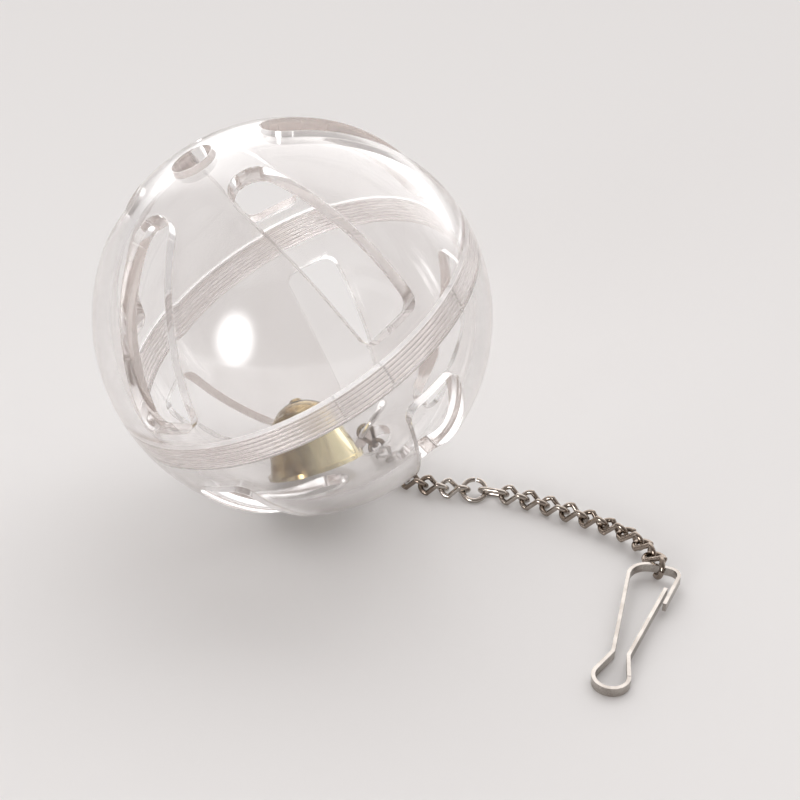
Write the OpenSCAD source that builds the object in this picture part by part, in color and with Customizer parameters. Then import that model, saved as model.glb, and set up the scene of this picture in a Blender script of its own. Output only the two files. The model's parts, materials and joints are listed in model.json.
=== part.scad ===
// Hanging treat ball: two clear screw-together halves with slots, a loose bell inside,
// a twisted curb chain and a spring strip clip. Lies on a table as it was photographed.
// Units are millimetres, Z is up, the origin is the point where the ball touches the table.

/* [Ball] */
// outside diameter of the closed ball
ball_d = 80; // [70:1:110]
// wall thickness of both halves
wall = 3.5; // [3:0.1:4.5]
// tilt of the ball's own axis from upright
ball_tilt = 27.2; // [15:0.1:40]
// compass direction towards which the lid end leans
ball_turn = 196.95; // [180:0.1:210]
// height of the parting line above the ball's equator
parting_z = 3.2; // [2:0.1:5]
// gap at the parting line
seam_gap = 0.15; // [0.1:0.01:0.3]
// diameter of the open hole in the lid's pole
lid_hole_d = 8.4; // [5:0.1:12]
// diameter of the chain hole in the base's pole
chain_hole_d = 9; // [8.8:0.1:9.4]

/* [Screw neck] */
// length of the lid's neck inside the base's rim
neck_len = 5.8; // [4.6:0.1:8]
// spacing of the thread ridges
ridge_pitch = 0.85; // [0.75:0.01:0.95]
// number of thread ridges
ridge_n = 6; // [4:1:6]
// radial depth of a ridge
ridge_depth = 0.4; // [0.3:0.01:0.45]
// flat on the top of a ridge
ridge_flat = 0.12; // [0.08:0.01:0.14]
// radial clearance between the two threads
thread_gap = 0.15; // [0.1:0.01:0.2]
// extra width of the thread grooves on each flank
flank_gap = 0.08; // [0.06:0.01:0.1]
// lid wall left under the thread
neck_wall = 1.1; // [0.9:0.05:1.2]

/* [Slots] */
// slots in each half
slot_n = 5; // [3:1:5]
// direction of the first slot about the ball's axis
slot_turn = 113.3; // [90:0.1:130]
// latitude of the wide end of the lid's slots
lid_slot_low = 10; // [8:0.5:20]
// latitude of the wide end of the base's slots
base_slot_low = 13.4; // [10:0.5:20]
// latitude of the middle of the round ends
slot_end = 62.5; // [55:0.5:65]
// width of a slot at its wide end
slot_wide = 13; // [10:0.1:15]
// arc from the round end to the point where the slot's sides would meet
slot_taper = 48; // [40:1:70]
// radius of the corners at the wide end
slot_corner = 2.7; // [2:0.1:3.5]

/* [Bell] */
// radius of the bell at its mouth
bell_r = 10.5; // [10:0.1:11]
// height of the bell
bell_h = 15; // [13:0.1:16]
// radius of the domed crown
crown_r = 7.3; // [7:0.1:7.6]
// wall thickness of the bell
bell_wall = 0.7; // [0.5:0.05:0.9]
// height of the rolled lip
lip_h = 0.9; // [0.6:0.1:1.2]
// gap between the lip and the ball's inner wall
bell_gap = 0.15; // [0.1:0.01:0.3]
// compass direction of the bell's place on the wall
bell_turn = 115.3; // [100:0.1:130]
// how far round the wall the bell has slid from the lowest point
bell_slide = 16.9; // [14:0.1:19]
// lean of the bell from the wall's normal
bell_lean = 14.8; // [12:0.1:17]
// direction of that lean
bell_lean_turn = 20; // [10:0.1:30]
// turn of the bell about its own axis, which sets the clapper's swing
bell_spin = -101.1; // [-110:0.1:-90]

/* [Clapper] */
// wire of the clapper and its eye
eye_wire = 0.8; // [0.7:0.05:1]
// middle radius of the two small eyes
eye_r = 1.2; // [1.1:0.05:1.3]
// play between the two eyes
eye_gap = 0.2; // [0.15:0.01:0.25]
// radius of the clapper's ball
clapper_r = 1.7; // [1.4:0.1:2]
// height of the clapper's ball above the mouth
clapper_clear = 1.6; // [1:0.1:2]
// angle at which the clapper hangs plumb in the leaning bell
clapper_hang = 31.2; // [28:0.1:33]
// radius of the riveted head on the crown
rivet_r = 1.5; // [1.2:0.1:1.8]
// height of that head
rivet_h = 0.5; // [0.4:0.05:0.7]
// radial clearance of the eye's stem in the crown
stem_gap = 0.05; // [0.03:0.01:0.08]

/* [Chain] */
// thickness of the link wire
wire = 1.05; // [0.95:0.01:1.1]
// distance from link to link
link_p = 4.62; // [4.5:0.01:4.8]
// width of the hole in a link
link_in = 2.5; // [2.4:0.05:2.6]
// twist of each link end from the link's middle plane
twist = 45; // [42:0.5:46]
// play between two links
link_gap = 0.22; // [0.18:0.01:0.28]
// distance the round rings add to the chain
ring_p = 3.75; // [3.65:0.01:3.9]
// distance the last link adds, opened for the clip
end_p = 5.1; // [5:0.05:5.3]
// width of the hole in that opened link
end_in = 3; // [2.9:0.05:3.1]
// twist of its ends
end_twist = 50; // [48:0.5:52]
// opening at the butt joint of a round ring
ring_cut = 8; // [5:1:14]
// middle radius of the stop ring inside the ball
stop_r = 4.45; // [4.4:0.05:4.6]
// wire of the stop ring
stop_wire = 1.3; // [1.2:0.05:1.5]
// direction in which the stop ring leans, about the ball's axis
stop_turn = 150; // [145:1:155]
// slope of the stop ring
stop_lean = 40; // [38:1:45]
// sideways roll of the stop ring
stop_roll = -15; // [-20:1:-10]
// gap under the lying links
lie_gap = 0.05; // [0.02:0.01:0.2]

/* [Clip] */
// height of the clip's spring strip
strip_h = 1.8; // [1.6:0.05:1.9]
// thickness of the strip
strip_t = 0.7; // [0.6:0.05:0.75]
// middle radius of the round spring loop
loop_r = 3.1; // [2.8:0.1:3.4]
// distance from the loop's middle to the neck
neck_x = 6.2; // [5.5:0.1:7]
// half width of the neck
neck_y = 1.4; // [1.2:0.1:1.7]
// distance from the loop's middle to the head
head_x = 33; // [30:0.5:38]
// head corner on the closed side
head_left = 5.3; // [4.8:0.1:6]
// head corner on the hook side
head_right = 4.65; // [4.4:0.1:5]
// bend radius on the closed side
bend_left = 4; // [3:0.1:4.5]
// bend radius on the hook side
bend_right = 2; // [1.5:0.1:2.5]
// bend radius at the neck
bend_neck = 1.6; // [1.2:0.1:2]
// distance of the hook's end from the loop
hook_x = 22.2; // [20:0.1:24]
// how much the hook's end turns inwards
hook_in = 0.75; // [0.5:0.05:0.8]
// distance of the tongue's tip from the loop
tip_x = 26.8; // [25:0.1:28.5]
// distance of the tongue's tip from the middle line
tip_y = 3.05; // [2.9:0.05:3.1]
// split between the tongue and the spring loop
flex_gap = 0.15; // [0.1:0.01:0.3]
// compass direction from the loop to the head
clip_turn = 66.2; // [50:0.5:80]
// place of the last link along the head
clip_hold = 0.2; // [-0.5:0.1:0.8]
// play between the strip and the end of the last link
clip_play = 0.48; // [0.4:0.01:0.55]
// how far the strip hangs below the middle of that link
clip_drop = 0.2; // [0.1:0.01:0.25]

/* [Hidden] */
$fn = 64;
eps = 0.01;
ball_r = ball_d / 2;
inner_r = ball_r - wall;
ball_c = [0, 0, ball_r];
axis = [sin(ball_tilt) * cos(ball_turn), sin(ball_tilt) * sin(ball_turn), cos(ball_tilt)];
neck_low = parting_z - neck_len;
root_r = inner_r + neck_wall;
crest_r = root_r + ridge_depth;
// how far the neck reaches into the wall that carries it
neck_lap = 1;
// slope of the ridges' flanks
flank_a = 30;
ridge_base = ridge_flat + 2 * ridge_depth * tan(flank_a);
ridge_z0 = neck_low + (neck_len - (ridge_n - 1) * ridge_pitch) / 2;

// the slot cutters run from well inside the wall to well outside it
slot_out = 1.6;
slot_into = 0.6;
slot_reach = ball_r * slot_out;
slot_from = inner_r * slot_into;
vertex = slot_end + slot_taper;
corner_a = asin(slot_corner / ball_r);
// small steps that keep the slot's round and flat walls from meeting at a tangent
shy = 0.99;
corner_lap = 1.5;

bell_in = inner_r - bell_gap;
bell_far = sqrt(bell_in * bell_in - pow(bell_r * cos(bell_lean), 2)) - bell_r * sin(bell_lean);
dome_z = bell_h - crown_r;
lip_out = 0.3;
bell_foot = bell_r - lip_out;
cone_a = acos(crown_r / norm([bell_foot, dome_z])) - atan2(dome_z, bell_foot);
cone_top_z = dome_z + crown_r * sin(cone_a);
cone_top_r = crown_r * cos(cone_a);
eye_drop = 0.3;
eye_z = bell_h - bell_wall - eye_r - eye_wire / 2 - eye_drop;
hang_z = eye_z - eye_r + eye_wire / 2 + eye_gap / 2;
clap_eye_z = hang_z + eye_wire / 2 + eye_gap / 2 - eye_r;
pivot_z = eye_z - eye_r;

link_r = (link_in + wire) / 2;
end_r = (end_in + wire) / 2;
ring_r = (ring_p + link_gap + wire) / 2;
half_gap = (wire + link_gap) / 2;
lie_z = link_r * sin(twist) + wire / 2 + lie_gap;

// order of the chain from the ball to the clip
CURB = 0;
ROUND = 1;
PLAIN = 2;
kind = [CURB, CURB, CURB, CURB, CURB, CURB, ROUND, PLAIN, CURB, CURB, CURB, CURB, CURB, CURB, CURB,
    CURB, CURB];
last = len(kind) - 1;
// compass direction in which each piece of the chain lies
lay = [-36.6, -41.8, -45.4, -31.5, -17.2, -7.8, -6.9, -16.2, -24.5, -29, -33, -36.5, -38, -41, -53.5,
    -68, -82.5];
// slope of the two pieces that come out of the ball
fall = [-41.6, -34.8];
// where the chain bends inside its hole
hole_depth = 0.53;
hole_shift = [-0.34, 0.54, -0.08];
hole_bend = ball_c - axis * (inner_r + wall * hole_depth) + hole_shift;
// the last pieces rise a little and roll over towards the clip
rise_from = 10;
rise_to = 14;
rise = 2;
rise_last = rise / 3;
roll_step = end_twist / (last - rise_from);
roll_in = 20;
roll_in_n = 3;

function pitch(i) = i == last ? end_p : kind[i] == ROUND ? ring_p : link_p;
function lift(i) = i < 2 ? fall[i] : i == 2 ? asin((lie_z - hang(2)[2]) / link_p) :
    i < rise_from ? 0 : i < rise_to ? rise : rise_last;
function along(i) = [cos(lay[i]) * cos(lift(i)), sin(lay[i]) * cos(lift(i)), sin(lift(i))];
function hang(i) = i == 0 ? hole_bend - along(0) * link_p : hang(i - 1) + along(i - 1) * pitch(i - 1);
function middle(i) = hang(i) + along(i) * pitch(i) / 2;
function roll(i) = i < roll_in_n ? roll_in * (1 - i / roll_in_n) : kind[i] == ROUND ? ring_roll :
    kind[i] == PLAIN ? -twist : i <= rise_from ? 0 : -roll_step * (i - rise_from);
ring_roll = asin((lie_z - lie_gap - wire / 2) / ring_r);
stop_hold = hang(0) + along(0) * (stop_wire + link_gap) / 2;

slant = lay[last] - (clip_turn - 180);
strip_back = (wire / 2 + strip_t / 2 + clip_play) / cos(slant) - half_gap;
hold = hang(last) + along(last) * (pitch(last) - strip_back) - [0, 0, clip_drop];
foot = hold[2] - strip_h / 2 - lie_gap;
clip_tilt = asin(foot / (head_x + loop_r));
loop_a = atan2(neck_y, neck_x) + acos(loop_r / norm([neck_x, neck_y]));
loop_join = [loop_r * cos(loop_a), loop_r * sin(loop_a)];
away = [sin(loop_a), -cos(loop_a)];
frame_line = [loop_join, [neck_x, neck_y], [head_x, head_left], [head_x, -head_right],
    [hook_x, hook_in - head_right]];
frame_bend = [0, bend_neck, bend_left, bend_right, 0];
tongue_from = [loop_join[0], -loop_join[1]] + [away[0], -away[1]] * flex_gap;
tongue_line = [tongue_from, [neck_x, -neck_y], [tip_x, -tip_y]];
// straight lengths reach into the bends and are a hair thinner there
lap = 0.1;
hair = 0.01;

clear_c = [0.86, 0.9, 0.92, 0.35];
steel_c = [0.72, 0.7, 0.67];
brass_c = [0.8, 0.62, 0.3];

module ball_place() {
    translate(ball_c) rotate([0, 0, ball_turn]) rotate([0, ball_tilt, 0]) children();
}

// wedge with its edge on the ball's middle, between two latitudes
module lat_wedge(low, high) {
    rotate([90, 0, 0]) linear_extrude(slot_reach, center = true)
        polygon([[0, 0], slot_reach * [cos(low), sin(low)], slot_reach * [cos(high), sin(high)]]);
}

// wedge between the two sides of a slot, closing towards the point beyond the round end
module side_wedge(half) {
    rotate([0, -vertex, 0]) rotate([0, 90, 0]) linear_extrude(2 * slot_reach, center = true)
        polygon([[0, 0], slot_reach * [1, tan(half)], slot_reach * [1, -tan(half)]]);
}

// cone with its point on the ball's middle
module ray_cone(a) {
    rotate([0, 90, 0]) translate([0, 0, slot_from])
        cylinder(h = slot_reach - slot_from, r1 = slot_from * tan(a), r2 = slot_reach * tan(a));
}

// one slot with walls square to the ball's surface
module slot(low) {
    half = asin(sin(asin(slot_wide / 2 / ball_r)) / sin(vertex - low));
    end_a = asin(sin(half) * sin(slot_taper)) * shy;
    arc = vertex - low - corner_a;
    corner_b = half - asin(sin(corner_a) / sin(arc));
    rotate([0, -slot_end, 0]) ray_cone(end_a);
    intersection() {
        side_wedge(half);
        lat_wedge(low + corner_a, slot_end);
    }
    intersection() {
        side_wedge(corner_b);
        lat_wedge(low, low + corner_a * corner_lap);
    }
    for (s = [-1, 1])
        rotate([0, -vertex, 0]) rotate([s * corner_b, 0, 0]) rotate([0, arc, 0]) ray_cone(corner_a * shy);
}

module slots(low) {
    for (k = [0 : slot_n - 1])
        rotate([0, 0, slot_turn + k * 360 / slot_n]) slot(low);
}

// outline of the threaded neck, grown by the given gaps for the groove side
function ridges(radial, axial) = [for (k = [0 : ridge_n - 1]) for (p = [
    [root_r, -ridge_base / 2 - axial], [crest_r, -ridge_flat / 2 - axial],
    [crest_r, ridge_flat / 2 + axial], [root_r, ridge_base / 2 + axial]])
    [p[0] + radial, ridge_z0 + k * ridge_pitch + p[1]]];

module upper_shell() {
    neck_in = inner_r - neck_lap;
    neck_top = parting_z + neck_lap;
    color(clear_c) ball_place() difference() {
        union() {
            intersection() {
                sphere(ball_r);
                translate([-ball_r, -ball_r, parting_z + seam_gap / 2]) cube([ball_d, ball_d, ball_d]);
            }
            rotate_extrude() polygon(concat([[neck_in, neck_low], [root_r, neck_low]], ridges(0, 0),
                [[root_r, neck_top], [neck_in, neck_top]]));
        }
        sphere(inner_r);
        cylinder(h = ball_d, d = lid_hole_d);
        slots(lid_slot_low);
    }
}

module lower_shell() {
    bore_low = neck_low - 2 * thread_gap;
    color(clear_c) ball_place() difference() {
        intersection() {
            sphere(ball_r);
            translate([-ball_r, -ball_r, parting_z - seam_gap / 2 - ball_d]) cube([ball_d, ball_d, ball_d]);
        }
        sphere(inner_r);
        rotate_extrude() polygon(concat([[0, bore_low], [root_r + thread_gap, bore_low]],
            ridges(thread_gap, flank_gap), [[root_r + thread_gap, ball_r], [0, ball_r]]));
        translate([0, 0, -ball_d]) cylinder(h = ball_d, d = chain_hole_d);
        mirror([0, 0, 1]) slots(base_slot_low);
    }
}

module bell_place() {
    translate(ball_c) rotate([0, 0, bell_turn]) rotate([0, bell_slide, 0]) translate([0, 0, -bell_far])
        rotate([0, 0, bell_lean_turn]) rotate([0, bell_lean, 0]) rotate([0, 0, bell_spin]) children();
}

// solid bell body, smaller by the given wall
module bell_body(t) {
    cylinder(h = cone_top_z, r1 = bell_foot - t, r2 = cone_top_r - t);
    translate([0, 0, dome_z]) intersection() {
        sphere(crown_r - t);
        translate([-bell_r, -bell_r, cone_top_z - dome_z - eps]) cube(2 * bell_r);
    }
}

module bell() {
    color(brass_c) bell_place() difference() {
        union() {
            bell_body(0);
            cylinder(h = lip_h, r = bell_r);
        }
        translate([0, 0, -eps]) bell_body(bell_wall);
        cylinder(h = 2 * bell_h, d = eye_wire + 2 * stem_gap);
    }
}

module clapper_eye() {
    color(steel_c) bell_place() {
        translate([0, 0, eye_z]) rotate([90, 0, 0]) rotate_extrude() translate([eye_r, 0]) circle(d = eye_wire);
        translate([0, 0, eye_z + eye_r]) cylinder(h = bell_h - eye_z - eye_r + eps, d = eye_wire);
        translate([0, 0, bell_h - eps]) cylinder(h = rivet_h, r1 = rivet_r, r2 = rivet_r / 2);
    }
}

module clapper() {
    ball_z = clapper_clear + clapper_r;
    rod_top = clap_eye_z - eye_r;
    color(steel_c) bell_place() translate([0, 0, pivot_z]) rotate([clapper_hang, 0, 0]) translate([0, 0, -pivot_z]) {
        translate([0, 0, clap_eye_z]) rotate([0, 90, 0]) rotate_extrude() translate([eye_r, 0]) circle(d = eye_wire);
        translate([0, 0, ball_z]) cylinder(h = rod_top - ball_z, d = eye_wire);
        translate([0, 0, ball_z]) sphere(clapper_r);
    }
}

module stop_ring() {
    color(steel_c) translate(stop_hold) rotate([0, 0, ball_turn]) rotate([0, ball_tilt, 0])
        rotate([0, 0, stop_turn]) rotate([0, -stop_lean, 0]) rotate([stop_roll, 0, 0]) translate([stop_r, 0, 0])
        rotate_extrude() translate([stop_r, 0]) circle(d = stop_wire);
}

// half of a link: a round end and one elbow at each side
module link_end(x, turn, r) {
    rotate([turn, 0, 0]) translate([x, 0, 0]) {
        rotate([0, 0, x > 0 ? -90 : 90]) rotate_extrude(angle = 180) translate([r, 0]) circle(d = wire);
        for (s = [-1, 1]) translate([0, s * r, 0]) sphere(d = wire + 4 * eps);
    }
}

// straight side of a link between two elbows
module side(a, b) {
    d = b - a;
    translate(a) rotate([0, acos(d[2] / norm(d)), atan2(d[1], d[0])]) cylinder(h = norm(d), d = wire);
}

// chain link along X with its near end turned one way and its far end the other way
module chain_link(p, t, r) {
    x = (p + wire + link_gap) / 2 - r;
    link_end(-x, t, r);
    link_end(x, -t, r);
    for (s = [-1, 1])
        side([-x, s * r * cos(t), s * r * sin(t)], [x, s * r * cos(t), -s * r * sin(t)]);
}

module jump_ring() {
    rotate([0, 0, 90]) rotate_extrude(angle = 360 - ring_cut) translate([ring_r, 0]) circle(d = wire);
}

module piece(i) {
    color(steel_c) translate(middle(i)) rotate([0, 0, lay[i]]) rotate([0, -lift(i), 0]) rotate([roll(i), 0, 0]) {
        if (kind[i] == CURB) chain_link(pitch(i), i == last ? end_twist : twist, i == last ? end_r : link_r);
        if (kind[i] == PLAIN) chain_link(pitch(i), 0, link_r);
        if (kind[i] == ROUND) jump_ring();
    }
}

module link_01() { piece(0); }
module link_02() { piece(1); }
module link_03() { piece(2); }
module link_04() { piece(3); }
module link_05() { piece(4); }
module link_06() { piece(5); }
module chain_ring() { piece(6); }
module plain_link() { piece(7); }
module link_07() { piece(8); }
module link_08() { piece(9); }
module link_09() { piece(10); }
module link_10() { piece(11); }
module link_11() { piece(12); }
module link_12() { piece(13); }
module link_13() { piece(14); }
module link_14() { piece(15); }
module link_15() { piece(16); }

module clip_place() {
    translate(hold) rotate([0, 0, clip_turn]) rotate([0, -clip_tilt, 0]) translate([-head_x, clip_hold, 0])
        children();
}

function unit(v) = v / norm(v);
function half_turn(a, v, b) = acos(unit(a - v) * unit(b - v)) / 2;
function cut_back(a, v, b, r) = r / tan(half_turn(a, v, b));

// straight length of the strip between two points of its middle line
module strip(a, b) {
    d = b - a;
    translate([a[0], a[1], hair - strip_h / 2]) rotate([0, 0, atan2(d[1], d[0])])
        translate([0, hair - strip_t / 2, 0]) cube([norm(d), strip_t - 2 * hair, strip_h - 2 * hair]);
}

// bend of the strip's middle line at the corner v
module strip_bend(a, v, b, r) {
    h = half_turn(a, v, b);
    c = v + unit(unit(a - v) + unit(b - v)) * r / sin(h);
    s = v + unit(a - v) * r / tan(h) - c;
    e = v + unit(b - v) * r / tan(h) - c;
    left = s[0] * e[1] - s[1] * e[0] > 0;
    from = left ? s : e;
    translate([c[0], c[1], 0]) rotate([0, 0, atan2(from[1], from[0])]) rotate_extrude(angle = 180 - 2 * h)
        translate([r - strip_t / 2, -strip_h / 2]) square([strip_t, strip_h]);
}

// strip bent along a line of corner points, reaching back by start into what comes before it
module strip_line(pts, bends, start) {
    n = len(pts) - 1;
    for (i = [0 : n - 1]) {
        a = pts[i];
        b = pts[i + 1];
        from = i == 0 ? -start : cut_back(pts[i - 1], a, b, bends[i]) - lap;
        to = i == n - 1 ? 0 : cut_back(a, b, pts[i + 2], bends[i + 1]) - lap;
        strip(a + unit(b - a) * from, b - unit(b - a) * to);
    }
    for (i = [1 : n - 1])
        strip_bend(pts[i - 1], pts[i], pts[i + 1], bends[i]);
}

module clip_frame() {
    color(steel_c) clip_place() {
        strip_line(frame_line, frame_bend, lap);
        rotate([0, 0, loop_a]) rotate_extrude(angle = 360 - 2 * loop_a)
            translate([loop_r - strip_t / 2, -strip_h / 2]) square([strip_t, strip_h]);
    }
}

module clip_tongue() {
    color(steel_c) clip_place() strip_line(tongue_line, [0, bend_neck, 0], 0);
}

lower_shell();
upper_shell();
bell();
clapper_eye();
clapper();
stop_ring();
link_01();
link_02();
link_03();
link_04();
link_05();
link_06();
chain_ring();
plain_link();
link_07();
link_08();
link_09();
link_10();
link_11();
link_12();
link_13();
link_14();
link_15();
clip_frame();
clip_tongue();
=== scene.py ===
# %% [markdown]
# # A clear treat ball on a chain
# The object is a hanging toy for cage birds. Two clear halves with slots screw together, a brass
# bell lies loose inside, and a twisted chain with a spring clip comes out of the lower half.
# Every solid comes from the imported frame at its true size, so this lesson is about light, clear
# plastic and bare metal: three things that show what is around them more than a colour of their own.

# %% Load the frame
import json
import math

import bpy
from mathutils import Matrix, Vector

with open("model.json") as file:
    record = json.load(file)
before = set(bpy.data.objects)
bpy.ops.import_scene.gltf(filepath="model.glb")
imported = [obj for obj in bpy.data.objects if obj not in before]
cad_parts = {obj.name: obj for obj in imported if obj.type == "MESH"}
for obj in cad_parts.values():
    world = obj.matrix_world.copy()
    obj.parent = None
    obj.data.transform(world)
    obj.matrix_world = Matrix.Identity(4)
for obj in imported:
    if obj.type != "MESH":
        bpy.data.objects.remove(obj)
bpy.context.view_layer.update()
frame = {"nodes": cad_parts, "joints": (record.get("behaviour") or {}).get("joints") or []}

scene = bpy.context.scene
nodes_of = frame["nodes"]

# %% [markdown]
# ## Camera
# The photo looks down on the table at about 30 degrees from close by. A camera could be aimed by
# eye, but here the ball's outline and the lying chain gave its distance, height and tilt. The lens
# is written as a focal length in picture widths, because that is what an outline gives.

# %% Camera
CAMERA_PLACE = (0.0213, -0.23598, 0.15201)
CAMERA_TILT = 61.0
FOCAL_WIDTHS = 1288.4 / 800
SENSOR = 36.0
NEAREST_SEEN = 0.01

bpy.ops.object.select_all(action="DESELECT")
bpy.ops.object.camera_add(location=CAMERA_PLACE, rotation=(math.radians(CAMERA_TILT), 0, 0))
camera = bpy.context.object
camera.name = "photo_camera"
camera.data.sensor_width = SENSOR
camera.data.lens = FOCAL_WIDTHS * SENSOR
camera.data.clip_start = NEAREST_SEEN
scene.camera = camera
scene.view_settings.view_transform = "Standard"
print("camera lens", round(camera.data.lens, 2), "mm")

# %% [markdown]
# ## Floor
# A pale table top runs far behind the object, so the picture has no horizon. Clear plastic shows
# the table through itself, so the table's tone is also most of the ball's tone.

# %% Floor
FLOOR_SIZE = 6.0
FLOOR_COLOUR = (0.80, 0.79, 0.785, 1)
FLOOR_ROUGHNESS = 0.9
FLOOR_SHINE = 0.1

bpy.ops.object.select_all(action="DESELECT")
bpy.ops.mesh.primitive_plane_add(size=FLOOR_SIZE, location=(0, 0, 0))
floor = bpy.context.object
floor.name = "table_top"
table_paint = bpy.data.materials.new("table_paint")
table_paint.use_nodes = True
shader = table_paint.node_tree.nodes["Principled BSDF"]
shader.inputs["Base Color"].default_value = FLOOR_COLOUR
shader.inputs["Roughness"].default_value = FLOOR_ROUGHNESS
shader.inputs["Specular IOR Level"].default_value = FLOOR_SHINE
floor.data.materials.append(table_paint)
print("table", tuple(round(s, 2) for s in floor.dimensions))

# %% [markdown]
# ## Helpers for shader nodes
# A finish is a chain of small sums: masks are compared, added and blended. They could be clicked
# together in the node editor, where the same few boxes come back all the time. Each helper adds one
# box, wires it and hands back its output, so a finish can be read like a formula. In all of them
# `n` is the tree's nodes and `l` its links.

# %% Node helpers
def calculate(n, l, operation, *values):
    """A Math node. Plain numbers are set on its sockets, and outputs are linked to them."""
    node = n.new("ShaderNodeMath")
    node.operation = operation
    for socket, value in zip(node.inputs, values):
        if isinstance(value, (int, float)):
            socket.default_value = value
        else:
            l.new(value, socket)
    return node.outputs[0]

def fit(n, l, source, start, end, low=0.0, high=1.0, soft=False):
    """A Map Range node: the result runs from low to high as the source runs from start to end."""
    node = n.new("ShaderNodeMapRange")
    node.interpolation_type = "SMOOTHSTEP" if soft else "LINEAR"
    for label, value in (("From Min", start), ("From Max", end), ("To Min", low), ("To Max", high)):
        node.inputs[label].default_value = value
    l.new(source, node.inputs["Value"])
    return node.outputs[0]

def measure_along(n, l, place, direction):
    """How far a place lies along a direction."""
    node = n.new("ShaderNodeVectorMath")
    node.operation = "DOT_PRODUCT"
    node.inputs[1].default_value = direction
    l.new(place, node.inputs[0])
    return node.outputs["Value"]

def blend_colours(n, l, mask, a, b):
    """Colour a where the mask is 0 and colour b where it is 1."""
    node = n.new("ShaderNodeMix")
    node.data_type = "RGBA"
    for socket, colour in (("A", a), ("B", b)):
        if isinstance(colour, tuple):
            node.inputs[socket].default_value = (*colour, 1)
        else:
            l.new(colour, node.inputs[socket])
    l.new(mask, node.inputs["Factor"])
    return node.outputs["Result"]

print("four node helpers")

# %% [markdown]
# ## Room light
# In the photo the top of the ball shines white and its front does not: a wide bright sheet stands
# behind and above, and the room on the viewer's side is dim and brownish. A ring of lamps would show
# as hard patches in the plastic, so the room is painted on the world by direction. Every change of
# tone has a soft edge, because each edge can be seen again in the ball.

# %% World
SHEET_TOWARDS = (0.118, 0.858, 0.499)
SHEET_EDGE = (0.60, 0.78)
HORIZON_EDGE = (-0.04, 0.10)
FRONT_TO_BACK = (-0.70, 0.20)
FRONT_TONE = (0.25, 0.22, 0.205)
BACK_TONE = (0.74, 0.72, 0.715)
SHEET_TONE = (1.0, 0.985, 0.98)
ROOM_LEVEL, SHEET_LEVEL = 1.0, 2.0

world = bpy.data.worlds.new("bright_back_room")
scene.world = world
world.use_nodes = True
n, l = world.node_tree.nodes, world.node_tree.links
background = n["Background"]
look = n.new("ShaderNodeTexCoord").outputs["Generated"]
xyz = n.new("ShaderNodeSeparateXYZ")
l.new(look, xyz.inputs[0])
sheet = fit(n, l, measure_along(n, l, look, SHEET_TOWARDS), *SHEET_EDGE, soft=True)
lifted = fit(n, l, xyz.outputs["Z"], *HORIZON_EDGE, soft=True)
sheet_mask = calculate(n, l, "MULTIPLY", sheet, lifted)
back_mask = fit(n, l, xyz.outputs["Y"], *FRONT_TO_BACK, soft=True)
room = blend_colours(n, l, back_mask, FRONT_TONE, BACK_TONE)
l.new(blend_colours(n, l, sheet_mask, room, SHEET_TONE), background.inputs["Color"])
l.new(fit(n, l, sheet_mask, 0, 1, ROOM_LEVEL, SHEET_LEVEL), background.inputs["Strength"])
print("world", world.name, "with", len(n), "nodes")

# %% [markdown]
# ## Window
# One bright patch with a soft rim sits on the front of the ball: a window at the viewer's left. A
# plain area lamp mirrors as a hard box, so its brightness fades with the distance from its middle. A
# second, wider and much weaker lamp behind it gives the glow round the patch, and a narrow one at the
# right draws the thin line along the ball's edge.

# %% Lamps
BALL_MIDDLE = (0, 0, 0.04)
LAMP_CENTRE = (0.5, 0.5, 0)
LAMP_RIM = 0.5 ** 2
FADE_POWER = 5
WINDOW_TOWARDS = (-0.47, -0.86, 0.20)
SIDE_TOWARDS = (0.95, 0.12, 0.28)

def softbox(name, towards, distance, width, height, power):
    """An area lamp that looks at the ball's middle and fades from its middle to its rim."""
    direction = Vector(towards).normalized()
    bpy.ops.object.select_all(action="DESELECT")
    bpy.ops.object.light_add(type="AREA", location=Vector(BALL_MIDDLE) + direction * distance)
    lamp = bpy.context.object
    lamp.name = name
    lamp.rotation_euler = (-direction).to_track_quat("-Z", "Y").to_euler()
    lamp.data.shape = "RECTANGLE"
    lamp.data.size = width
    lamp.data.size_y = height
    lamp.data.energy = power
    lamp.data.use_nodes = True
    n, l = lamp.data.node_tree.nodes, lamp.data.node_tree.links
    centred = n.new("ShaderNodeVectorMath")
    centred.operation = "SUBTRACT"
    centred.inputs[1].default_value = LAMP_CENTRE
    l.new(n.new("ShaderNodeNewGeometry").outputs["Parametric"], centred.inputs[0])
    squared = n.new("ShaderNodeVectorMath")
    squared.operation = "DOT_PRODUCT"
    l.new(centred.outputs[0], squared.inputs[0])
    l.new(centred.outputs[0], squared.inputs[1])
    fade = fit(n, l, squared.outputs["Value"], LAMP_RIM, 0.0, soft=True)
    l.new(calculate(n, l, "POWER", fade, FADE_POWER), n["Emission"].inputs["Strength"])

softbox("window", WINDOW_TOWARDS, 1.0, 0.62, 0.88, 21.5)
softbox("window_glow", WINDOW_TOWARDS, 1.02, 0.85, 1.10, 4.0)
softbox("side_strip", SIDE_TOWARDS, 1.0, 0.10, 0.58, 0.8)

# %% [markdown]
# ## Wear that all finishes share
# Handled things are cloudy in patches and crossed by hair-thin scratches. Both could be painted, but
# noise does it for any shape: soft patches straight from the noise, and scratches as the thin lines
# where a stretched noise passes through its middle value. A node group holds both, so that every
# finish wears in the same way and only the sizes change.

# %% Handling wear
CLOUD_EDGE = (0.38, 0.64)
HAIR_LIES = ((0.6, (1, 0.06, 0.5)), (-0.9, (0.5, 1, 0.05)))
HAIR_WIDTH = 0.002
WEAR_SOCKETS = (
    ("Vector", "INPUT", "NodeSocketVector"),
    ("Patches", "INPUT", "NodeSocketFloat"),
    ("Scratches", "INPUT", "NodeSocketFloat"),
    ("Cloud", "OUTPUT", "NodeSocketFloat"),
    ("Scratch", "OUTPUT", "NodeSocketFloat"))

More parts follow.
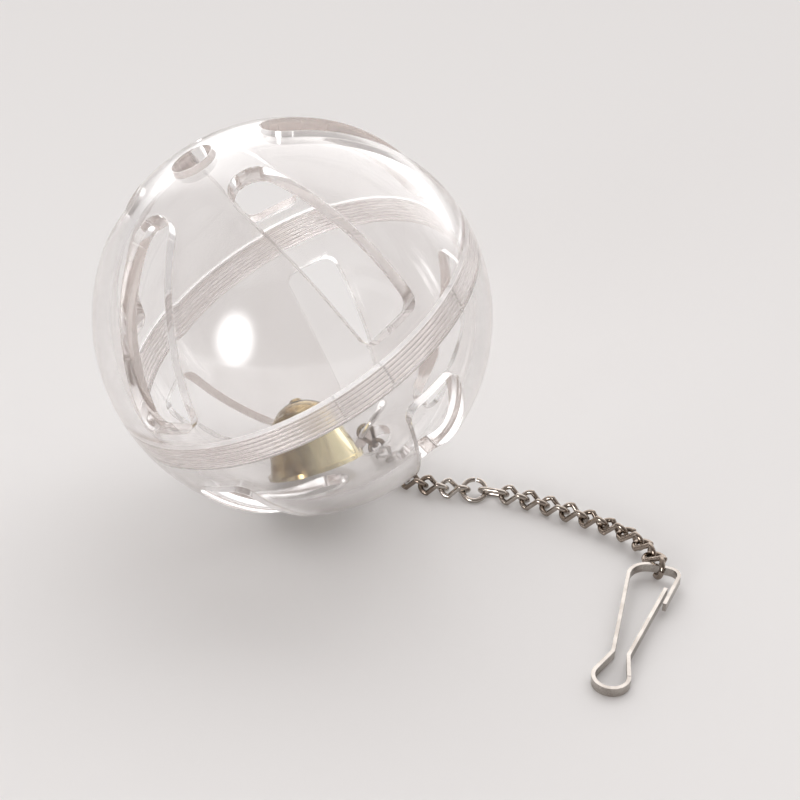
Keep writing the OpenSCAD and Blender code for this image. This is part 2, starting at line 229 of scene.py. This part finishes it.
def handling_wear():
    tree = bpy.data.node_groups.new("handling_wear", "ShaderNodeTree")
    for label, way, kind in WEAR_SOCKETS:
        tree.interface.new_socket(label, in_out=way, socket_type=kind)
    n, l = tree.nodes, tree.links
    enter, leave = n.new("NodeGroupInput"), n.new("NodeGroupOutput")
    cloud = n.new("ShaderNodeTexNoise")
    cloud.inputs["Detail"].default_value = 4
    l.new(enter.outputs["Vector"], cloud.inputs["Vector"])
    l.new(enter.outputs["Patches"], cloud.inputs["Scale"])
    l.new(fit(n, l, cloud.outputs["Fac"], *CLOUD_EDGE), leave.inputs["Cloud"])
    hairs = []
    for turn, stretch in HAIR_LIES:
        lie = n.new("ShaderNodeMapping")
        lie.inputs["Rotation"].default_value = (turn, turn / 2, turn)
        lie.inputs["Scale"].default_value = stretch
        l.new(enter.outputs["Vector"], lie.inputs["Vector"])
        streak = n.new("ShaderNodeTexNoise")
        streak.inputs["Detail"].default_value = 1
        l.new(lie.outputs[0], streak.inputs["Vector"])
        l.new(enter.outputs["Scratches"], streak.inputs["Scale"])
        from_middle = calculate(n, l, "SUBTRACT", streak.outputs["Fac"], 0.5)
        hairs.append(fit(n, l, calculate(n, l, "ABSOLUTE", from_middle), HAIR_WIDTH, 0.0))
    l.new(calculate(n, l, "MAXIMUM", *hairs), leave.inputs["Scratch"])
    return tree

wear = handling_wear()
print("group", wear.name, "with", len(wear.nodes), "nodes")

# %% [markdown]
# ## Starting a finish
# Each finish starts in the same way: a new material, the wear laid on it by the piece's own
# coordinates, and a dullness that grows with the patches and is strongest in a scratch. The patterns
# are sized in metres, and they stay on the piece when a joint moves it.

# %% Material helpers
def new_material(name):
    mat = bpy.data.materials.new(name)
    mat.use_nodes = True
    tree = mat.node_tree
    return mat, tree.nodes, tree.links, tree.nodes["Principled BSDF"]

def worn(n, l, patches, scratches):
    """The piece's own coordinates, and the wear group with patches and scratches of these sizes."""
    where = n.new("ShaderNodeTexCoord").outputs["Object"]
    group = n.new("ShaderNodeGroup")
    group.node_tree = wear
    l.new(where, group.inputs["Vector"])
    group.inputs["Patches"].default_value = patches
    group.inputs["Scratches"].default_value = scratches
    return where, group.outputs["Cloud"], group.outputs["Scratch"]

def dulled(n, l, cloud, scratch, share, low, high):
    """A roughness: the patches count by their share, and a scratch counts fully."""
    patchy = calculate(n, l, "MULTIPLY", cloud, share)
    return fit(n, l, calculate(n, l, "MAXIMUM", patchy, scratch), 0, 1, low, high)

def bumped(n, l, body, height, strength, distance):
    bump = n.new("ShaderNodeBump")
    bump.inputs["Strength"].default_value = strength
    bump.inputs["Distance"].default_value = distance
    l.new(height, bump.inputs["Height"])
    l.new(bump.outputs[0], body.inputs["Normal"])
    return bump

def turned_to(n, l, where, place, rotation, scale=(1, 1, 1)):
    """The coordinates as seen from a piece that lies at this place, turned and drawn out like this."""
    node = n.new("ShaderNodeMapping")
    node.vector_type = "TEXTURE"
    node.inputs["Location"].default_value = place
    node.inputs["Rotation"].default_value = rotation
    node.inputs["Scale"].default_value = scale
    l.new(where, node.inputs["Vector"])
    return node.outputs[0]

def dress(node, mat):
    mesh = nodes_of[node].data
    mesh.materials.clear()
    mesh.materials.append(mat)

print("six material helpers")

# %% [markdown]
# ## Screw thread and mould marks
# The two halves screw together on a band of fine ridges. The ridges are real geometry, but moulded
# threads are also less polished than the rest, and most of all on the two ledges beside them. Three
# short marks cross the band where the mould's parts met. All this could be painted on a map. Here it
# is measured instead: the coordinates are turned to the ball's own axis, where the height tells the
# band and the angle tells the marks.

# %% Thread band
BALL_TURN = (0, math.radians(27.2), math.radians(196.95))
WALL = (0.0382, 0.0016)
THREAD = (0.0002, 0.0031)
LEDGES = ((-0.00275, 0.0003), (0.0032, 0.0003))
THREAD_FROST, LEDGE_FROST = 0.06, 0.45
MARK_ANGLES = (89.6, 104.6, 136.0)
MARK_REACH = 0.012

def thread_band(n, l, where):
    """How frosted the band is, and a mask for the mould marks across it."""
    place = turned_to(n, l, where, BALL_MIDDLE, BALL_TURN)
    xyz = n.new("ShaderNodeSeparateXYZ")
    l.new(place, xyz.inputs[0])
    radius = n.new("ShaderNodeVectorMath")
    radius.operation = "LENGTH"
    l.new(place, radius.inputs[0])
    in_wall = calculate(n, l, "COMPARE", radius.outputs["Value"], *WALL)
    in_thread = calculate(n, l, "COMPARE", xyz.outputs["Z"], *THREAD)
    low, high = (calculate(n, l, "COMPARE", xyz.outputs["Z"], *ledge) for ledge in LEDGES)
    on_ledge = calculate(n, l, "MAXIMUM", low, high)
    frost = calculate(n, l, "MAXIMUM", calculate(n, l, "MULTIPLY", in_thread, THREAD_FROST),
                      calculate(n, l, "MULTIPLY", on_ledge, LEDGE_FROST))
    angle = calculate(n, l, "ARCTAN2", xyz.outputs["Y"], xyz.outputs["X"])
    marks = 0.0
    for mark in MARK_ANGLES:
        off = calculate(n, l, "ABSOLUTE", calculate(n, l, "SUBTRACT", angle, math.radians(mark)))
        peak = calculate(n, l, "SUBTRACT", 1.0, calculate(n, l, "DIVIDE", off, MARK_REACH))
        marks = calculate(n, l, "MAXIMUM", marks, peak)
    on_band = calculate(n, l, "MULTIPLY", in_thread, in_wall)
    return calculate(n, l, "MULTIPLY", frost, in_wall), calculate(n, l, "MULTIPLY", marks, on_band)

print("thread band", round(2000 * THREAD[1], 1), "mm high with", len(MARK_ANGLES), "marks")

# %% [markdown]
# ## Light that is caught in the wall
# Light that enters the edge of a clear wall runs on inside it, mirrored from face to face, until some
# speck or scratch lets it out. That is why the slots of the real ball have beige walls. A renderer
# gives up after a few mirrorings and shows black. So a ray that has been mirrored too often meets a
# pale, half see-through surface instead. Rays that only look for a lamp pass straight through, so the
# ball's shadow stays light.

# %% Caught light
MOST_MIRRORINGS = 2.5
MOST_BOUNCES = 8.5
CAUGHT_TONE = (0.78, 0.735, 0.712, 1)
THROUGH_TONE = (0.93, 0.92, 0.915, 1)
CAUGHT_THROUGH = 0.22

def mix_shaders(n, l, share, a, b):
    node = n.new("ShaderNodeMixShader")
    if isinstance(share, float):
        node.inputs[0].default_value = share
    else:
        l.new(share, node.inputs[0])
    l.new(a.outputs[0], node.inputs[1])
    l.new(b.outputs[0], node.inputs[2])
    return node

def let_light_out(n, l, body):
    path = n.new("ShaderNodeLightPath")
    caught = calculate(n, l, "MAXIMUM",
                       calculate(n, l, "GREATER_THAN", path.outputs["Glossy Depth"], MOST_MIRRORINGS),
                       calculate(n, l, "GREATER_THAN", path.outputs["Ray Depth"], MOST_BOUNCES))
    pale = n.new("ShaderNodeBsdfDiffuse")
    pale.inputs["Color"].default_value = CAUGHT_TONE
    through = n.new("ShaderNodeBsdfTransparent")
    through.inputs["Color"].default_value = THROUGH_TONE
    spent = mix_shaders(n, l, CAUGHT_THROUGH, pale, through)
    solid = mix_shaders(n, l, caught, body, spent)
    shown = mix_shaders(n, l, path.outputs["Is Shadow Ray"], solid, through)
    l.new(shown.outputs[0], n["Material Output"].inputs["Surface"])

print("caught after", math.ceil(MOST_MIRRORINGS), "mirrorings")

# %% [markdown]
# ## Clear acrylic
# The two halves are moulded from clear acrylic: almost colourless, with faint smudges and handling
# scratches. The thread band is tinted greyer, as painted shade, and the mould marks on it paler, as a
# painted highlight. It could be made as a thin see-through skin, but only a solid that bends light
# shows the far slots shifted and the bell through the thread. Moulded edges are never quite sharp, so
# a Bevel node rounds how the edges catch the light and leaves the solid as it is.

# %% Acrylic
ACRYLIC_IOR = 1.49
ACRYLIC_CLEARNESS = 0.97
CLEAN_TONE, SMUDGED_TONE = (0.955, 0.947, 0.944), (0.925, 0.913, 0.91)
THREAD_SHADE_TONE, MARK_HIGHLIGHT_TONE = (0.90, 0.868, 0.86), (0.99, 0.985, 0.98)
EDGE_ROUNDING = 0.0003

def clear_acrylic():
    mat, n, l, body = new_material("clear_acrylic")
    where, cloud, scratch = worn(n, l, 90, 160)
    body.inputs["Transmission Weight"].default_value = ACRYLIC_CLEARNESS
    body.inputs["IOR"].default_value = ACRYLIC_IOR
    frost, marks = thread_band(n, l, where)
    clear = blend_colours(n, l, cloud, CLEAN_TONE, SMUDGED_TONE)
    # Painted shade: the thread band and the ledges beside it are tinted greyer than the clear wall.
    on_thread = calculate(n, l, "GREATER_THAN", frost, 0.01)
    shaded_band = blend_colours(n, l, on_thread, clear, THREAD_SHADE_TONE)
    # Painted highlight: the mould marks are tinted paler than the band, so they read as bright dashes.
    l.new(blend_colours(n, l, marks, shaded_band, MARK_HIGHLIGHT_TONE), body.inputs["Base Color"])
    smudge = dulled(n, l, cloud, scratch, 0.2, 0.003, 0.03)
    l.new(calculate(n, l, "ADD", smudge, frost), body.inputs["Roughness"])
    bump = bumped(n, l, body, marks, 0.6, 0.0003)
    edge = n.new("ShaderNodeBevel")
    edge.samples = 4
    edge.inputs["Radius"].default_value = EDGE_ROUNDING
    l.new(edge.outputs[0], bump.inputs["Normal"])
    let_light_out(n, l, body)
    return mat

acrylic = clear_acrylic()
for shell in ("lower_shell", "upper_shell"):
    dress(shell, acrylic)
print("acrylic on the two shells")

# %% [markdown]
# ## The bell's axis
# The bell is drawn from sheet brass and polished on a lathe, so its marks run round its own axis. The
# bell leans, and it could be stood upright to be painted. Here the pattern is turned instead, and the
# solid stays where it is. The axis runs through the middle of the bell's points and the clapper's
# pivot. The side direction, square to it, is the one that the viewer sees as left and right.

# %% Bell axis
bell_points = [v.co for v in nodes_of["bell"].data.vertices]
bell_middle = sum(bell_points, Vector()) / len(bell_points)
pivot = Vector(next(j for j in frame["joints"] if j["name"] == "clapper_swing")["pos_m"])
bell_axis = (pivot - bell_middle).normalized()
# The side direction is used only for the painted shade on the bell's left.
bell_side = bell_axis.cross(Vector((0, -1, 0))).normalized()
print("bell axis", tuple(round(c, 3) for c in bell_axis))
print("bell middle", tuple(round(c, 4) for c in bell_middle))

# %% [markdown]
# ## Brass bell
# Polished brass is a pale gold. The crown and the side that the viewer sees on the left are painted
# darker towards olive brown: painted shade, stronger or weaker in patches after the noise. The brass
# stays metallic and only its colour is painted this way; its dullness changes with the wear. So two
# masks, one along the axis and one across it, set how far the painted shade may darken the gold.

# %% Brass
GOLD, SHADE_OLIVE_BROWN = (0.90, 0.82, 0.54), (0.19, 0.115, 0.04)
LEFT_SHADE_EDGE = (0.0035, -0.0005)
CROWN_SHADE_EDGE = (0.0005, 0.0035)
LEAST_PAINTED_SHADE = 0.72
LATHE_RINGS = 900

def bell_shade_mask(n, l, where, direction, edge):
    """A soft edge across the bell, measured from its middle along a direction."""
    middle = bell_middle.dot(direction)
    start, end = (middle + e for e in edge)
    return fit(n, l, measure_along(n, l, where, direction), start, end, soft=True)

def bell_brass():
    mat, n, l, body = new_material("bell_brass")
    where, cloud, scratch = worn(n, l, 260, 420)
    body.inputs["Metallic"].default_value = 1.0
    # Painted shade: the gold darkens towards olive brown on the viewer's left and on the crown.
    left = bell_shade_mask(n, l, where, bell_side, LEFT_SHADE_EDGE)
    crown = bell_shade_mask(n, l, where, bell_axis, CROWN_SHADE_EDGE)
    patchy = fit(n, l, cloud, 0, 1, LEAST_PAINTED_SHADE, 1.0)
    painted_shade = calculate(n, l, "MULTIPLY", calculate(n, l, "MAXIMUM", left, crown), patchy)
    l.new(blend_colours(n, l, painted_shade, GOLD, SHADE_OLIVE_BROWN), body.inputs["Base Color"])
    l.new(dulled(n, l, cloud, scratch, 0.6, 0.05, 0.16), body.inputs["Roughness"])
    rings = n.new("ShaderNodeTexWave")
    rings.wave_type = "BANDS"
    rings.bands_direction = "Z"
    rings.inputs["Scale"].default_value = LATHE_RINGS
    rings.inputs["Distortion"].default_value = 1.5
    rings.inputs["Detail"].default_value = 3
    lean = bell_axis.to_track_quat("Z", "Y").to_euler()
    l.new(turned_to(n, l, where, bell_middle, lean), rings.inputs["Vector"])
    bumped(n, l, body, rings.outputs["Fac"], 0.05, 0.0001)
    return mat

brass = bell_brass()
for piece in ("bell", "clapper_eye"):
    dress(piece, brass)
print("brass on the bell and the clapper's eye")

# %% [markdown]
# ## Nickel chain
# Chain wire is nickel plated. The links next to the ball stay silvery, and towards the clip they are
# painted a warm dark grey: painted shade, for the darker reflections of these links. Each link could
# have a colour of its own. One material with a slow change along the chain does it without a step from
# link to link. Inside the ball the links are painted dark again, also as painted shade, and the stop
# ring there is of a brighter, polished wire that is darkened in the same way towards its own pale
# tone.

# %% Nickel
SILVERY, SHADE_GREY = (0.66, 0.62, 0.575), (0.29, 0.24, 0.20)
POLISHED, POLISHED_SHADE = (0.88, 0.865, 0.855), (0.78, 0.76, 0.75)
SHADE_TOWARDS_CLIP = (0.030, 0.062, 0.15, 0.85)
SHADE_INSIDE_BALL = (0.031, 0.027)
PATCH_SHARE = 0.3

def chain_nickel(name, bright, shade_tone):
    mat, n, l, body = new_material(name)
    where, cloud, scratch = worn(n, l, 500, 700)
    body.inputs["Metallic"].default_value = 1.0
    xyz = n.new("ShaderNodeSeparateXYZ")
    l.new(where, xyz.inputs[0])
    # Painted shade: darker towards the clip and inside the ball, with cloudy patches added at random.
    shade_towards_clip = fit(n, l, xyz.outputs["X"], *SHADE_TOWARDS_CLIP)
    inside = fit(n, l, xyz.outputs["X"], *SHADE_INSIDE_BALL)
    shade = calculate(n, l, "MAXIMUM", shade_towards_clip, inside)
    patchy = calculate(n, l, "ADD", shade, calculate(n, l, "MULTIPLY", cloud, PATCH_SHARE))
    dark = calculate(n, l, "MINIMUM", patchy, 1.0)
    l.new(blend_colours(n, l, dark, bright, shade_tone), body.inputs["Base Color"])
    l.new(dulled(n, l, cloud, scratch, 0.5, 0.06, 0.20), body.inputs["Roughness"])
    return mat

nickel = chain_nickel("chain_nickel", SILVERY, SHADE_GREY)
polished = chain_nickel("stop_ring_nickel", POLISHED, POLISHED_SHADE)
dress("stop_ring", polished)
for name in nodes_of:
    if name.startswith(("link_", "plain_link", "chain_ring", "clapper")) and name != "clapper_eye":
        dress(name, nickel)
print("nickel on", sum(o.data.materials[0] == nickel for o in nodes_of.values()), "pieces")

# %% [markdown]
# ## Clip strip
# The clip is bent from a flat rolled strip. Rolling leaves fine lines along the strip, which show as
# a slightly drawn-out shine. An anisotropic shader could fake that shine, but the lines themselves
# are simple: a fine noise, stretched twenty times along the clip.

# %% Clip steel
CLIP_TURN = (0, 0, math.radians(66.2))
LINE_STRETCH = (20, 1, 1)
LINES = 4000
STEEL, STEEL_SHADE = (0.52, 0.485, 0.45), (0.40, 0.365, 0.335)

def clip_strip():
    mat, n, l, body = new_material("clip_strip")
    where, cloud, _ = worn(n, l, 300, 500)
    body.inputs["Metallic"].default_value = 1.0
    lines = n.new("ShaderNodeTexNoise")
    lines.inputs["Scale"].default_value = LINES
    lines.inputs["Detail"].default_value = 2
    l.new(turned_to(n, l, where, (0, 0, 0), CLIP_TURN, LINE_STRETCH), lines.inputs["Vector"])
    l.new(blend_colours(n, l, cloud, STEEL, STEEL_SHADE), body.inputs["Base Color"])
    l.new(fit(n, l, lines.outputs["Fac"], 0, 1, 0.14, 0.36), body.inputs["Roughness"])
    bumped(n, l, body, lines.outputs["Fac"], 0.06, 0.00005)
    return mat

strip = clip_strip()
for piece in ("clip_frame", "clip_tongue"):
    dress(piece, strip)
print("strip steel on the clip")
